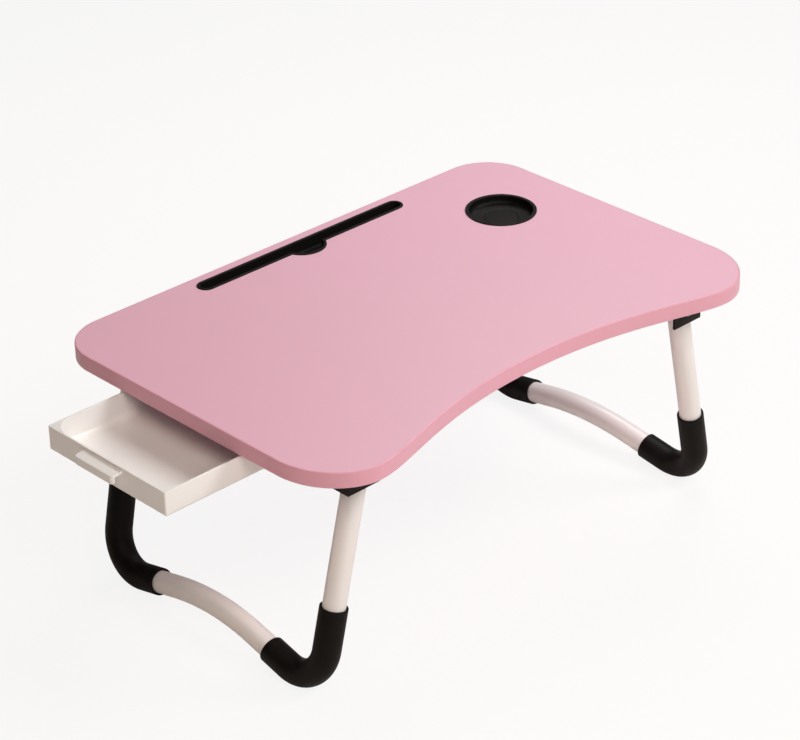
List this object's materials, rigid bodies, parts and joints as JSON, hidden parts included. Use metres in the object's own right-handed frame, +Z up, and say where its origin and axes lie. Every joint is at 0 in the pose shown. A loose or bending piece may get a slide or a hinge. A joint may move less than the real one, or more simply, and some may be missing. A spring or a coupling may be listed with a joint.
{
  "type": "laptop bed tray",
  "caption": "Folding laptop bed tray: wavy-front board with tablet slot and cup recess, bent tube legs that fold flat and a pull-out end drawer.",
  "frame": {"origin": "centre of the board's top face", "axes": "+Z up, out of the board's top face; +X along the board's length, away from the drawer; -Y towards the user and the wavy front edge"},
  "size_m": [0.6982, 0.4, 0.2689],
  "materials": {
    "board_laminate": "pale pink melamine foil on a wood-fibre board, satin",
    "edge_banding": "pale pink plastic edge band, satin",
    "black_plastic": "black moulded plastic, satin",
    "white_powder_coat": "warm white powder coat on steel tube",
    "white_plastic": "warm white moulded plastic, soft gloss",
    "black_steel": "blackened steel rivet",
    "zinc_steel": "zinc-plated steel screw"
  },
  "bodies": {
    "desktop": {"desktop_board": "board_laminate", "edge_band": "edge_banding", "tablet_slot_liner": "black_plastic", "cup_holder": "black_plastic", "left_front_hinge_bracket": "black_plastic", "left_rear_hinge_bracket": "black_plastic", "right_front_hinge_bracket": "black_plastic", "right_rear_hinge_bracket": "black_plastic", "left_front_hinge_pin": "black_steel", "left_rear_hinge_pin": "black_steel", "right_front_hinge_pin": "black_steel", "right_rear_hinge_pin": "black_steel", "drawer_rail_front": "white_plastic", "drawer_rail_rear": "white_plastic", "bracket_screw_01": "zinc_steel", "bracket_screw_02": "zinc_steel", "bracket_screw_03": "zinc_steel", "bracket_screw_04": "zinc_steel", "bracket_screw_05": "zinc_steel", "bracket_screw_06": "zinc_steel", "bracket_screw_07": "zinc_steel", "bracket_screw_08": "zinc_steel", "bracket_screw_09": "zinc_steel", "bracket_screw_10": "zinc_steel", "bracket_screw_11": "zinc_steel", "bracket_screw_12": "zinc_steel", "bracket_screw_13": "zinc_steel", "bracket_screw_14": "zinc_steel", "bracket_screw_15": "zinc_steel", "bracket_screw_16": "zinc_steel", "rail_screw_1": "zinc_steel", "rail_screw_2": "zinc_steel", "rail_screw_3": "zinc_steel", "rail_screw_4": "zinc_steel", "rail_screw_5": "zinc_steel", "rail_screw_6": "zinc_steel"},
    "left_leg": {"left_leg_tube": "white_powder_coat", "left_front_foot_sleeve": "black_plastic", "left_rear_foot_sleeve": "black_plastic", "left_front_tube_plug": "black_plastic", "left_rear_tube_plug": "black_plastic"},
    "right_leg": {"right_leg_tube": "white_powder_coat", "right_front_foot_sleeve": "black_plastic", "right_rear_foot_sleeve": "black_plastic", "right_front_tube_plug": "black_plastic", "right_rear_tube_plug": "black_plastic"},
    "drawer": {"drawer": "white_plastic"}
  },
  "joints": [
    {"name": "left_leg_fold", "type": "hinge", "parent": "desktop", "child": "left_leg", "pos_m": [-0.2218, 0.0116, -0.034], "axis": [0, -1, 0], "range_deg": [0, 103]},
    {"name": "right_leg_fold", "type": "hinge", "parent": "desktop", "child": "right_leg", "pos_m": [0.2218, 0.0116, -0.034], "axis": [0, 1, 0], "range_deg": [0, 95]},
    {"name": "drawer_slide", "type": "slide", "parent": "desktop", "child": "drawer", "axis": [-1, 0, 0], "range_m": [-0.0862, 0]}
  ]
}
